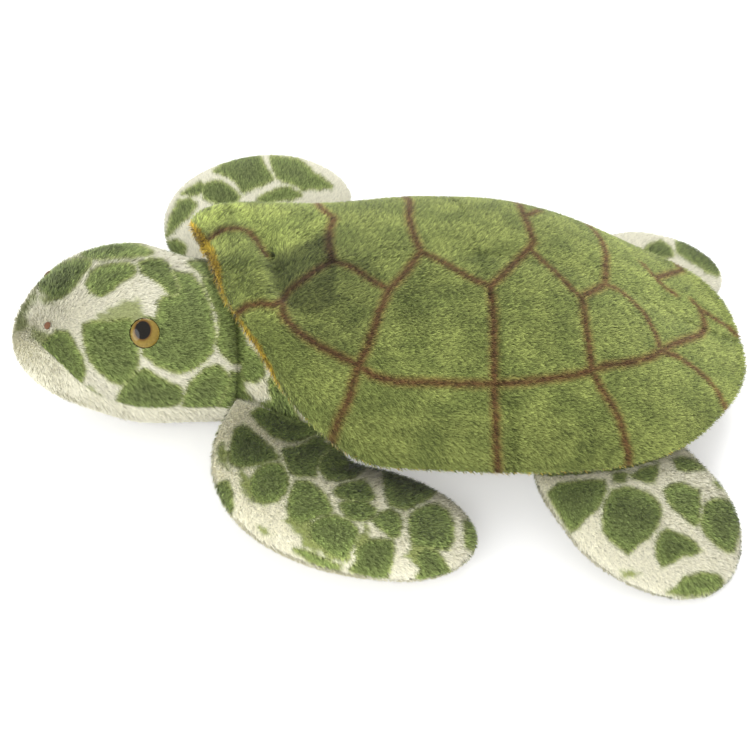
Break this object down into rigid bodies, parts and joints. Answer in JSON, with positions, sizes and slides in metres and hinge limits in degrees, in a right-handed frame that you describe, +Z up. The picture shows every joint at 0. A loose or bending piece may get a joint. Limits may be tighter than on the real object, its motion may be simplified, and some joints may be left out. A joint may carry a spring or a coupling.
{
  "type": "plush sea turtle",
  "caption": "Soft stuffed sea turtle lying flat, with a padded domed shell, a round head that nods on its neck, and paddle flippers that flap at their seams.",
  "frame": {"origin": "centre of the bounding box at the belly's resting plane", "axes": "-X toward the nose, -Y toward the turtle's left side, +Z up"},
  "size_m": [0.4132, 0.3572, 0.098],
  "materials": {
    "mottled_plush": "short plush pile, dark green patches on cream",
    "cream_plush": "short cream plush pile",
    "shell_plush": "short green plush pile with brown airbrushed lines",
    "gold_plush": "short gold plush pile",
    "filling": "soft polyester fibre",
    "eye": "glossy amber with a black pupil",
    "washer": "plain moulded",
    "thread": "brown embroidery"
  },
  "bodies": {
    "body": {"back_panel": "mottled_plush", "belly_panel": "cream_plush", "body_filling": "filling", "shell_cover": "shell_plush", "shell_padding": "filling", "shell_lining": "gold_plush"},
    "head": {"head_panel": "mottled_plush", "chin_panel": "cream_plush", "head_filling": "filling", "eye_left": "eye", "eye_right": "eye", "eye_washer_left": "washer", "eye_washer_right": "washer", "nostril_left": "thread", "nostril_right": "thread"},
    "front_left_flipper": {"front_left_top": "mottled_plush", "front_left_underside": "cream_plush", "front_left_filling": "filling"},
    "front_right_flipper": {"front_right_top": "mottled_plush", "front_right_underside": "cream_plush", "front_right_filling": "filling"},
    "rear_left_flipper": {"rear_left_top": "mottled_plush", "rear_left_underside": "cream_plush", "rear_left_filling": "filling"},
    "rear_right_flipper": {"rear_right_top": "mottled_plush", "rear_right_underside": "cream_plush", "rear_right_filling": "filling"}
  },
  "joints": [
    {"name": "neck_nod", "type": "hinge", "parent": "body", "child": "head", "pos_m": [-0.08963, -0.00978, 0.041], "axis": [0, 1, 0], "range_deg": [-18, 6], "stiffness_Nm_per_rad": 1.5},
    {"name": "front_left_flap", "type": "hinge", "parent": "body", "child": "front_left_flipper", "pos_m": [-0.06416, -0.06574, 0.036], "axis": [-0.848, 0.5299, 0], "range_deg": [-25, 12], "stiffness_Nm_per_rad": 1.2},
    {"name": "front_right_flap", "type": "hinge", "parent": "body", "child": "front_right_flipper", "pos_m": [-0.06416, 0.04618, 0.036], "axis": [0.848, 0.5299, 0], "range_deg": [-25, 12], "stiffness_Nm_per_rad": 1.2},
    {"name": "rear_left_flap", "type": "hinge", "parent": "body", "child": "rear_left_flipper", "pos_m": [0.08987, -0.06959, 0.026], "axis": [-0.9272, -0.3746, 0], "range_deg": [-20, 6], "stiffness_Nm_per_rad": 1.2},
    {"name": "rear_right_flap", "type": "hinge", "parent": "body", "child": "rear_right_flipper", "pos_m": [0.08987, 0.05003, 0.026], "axis": [0.9272, -0.3746, 0], "range_deg": [-20, 1], "stiffness_Nm_per_rad": 1.2}
  ]
}
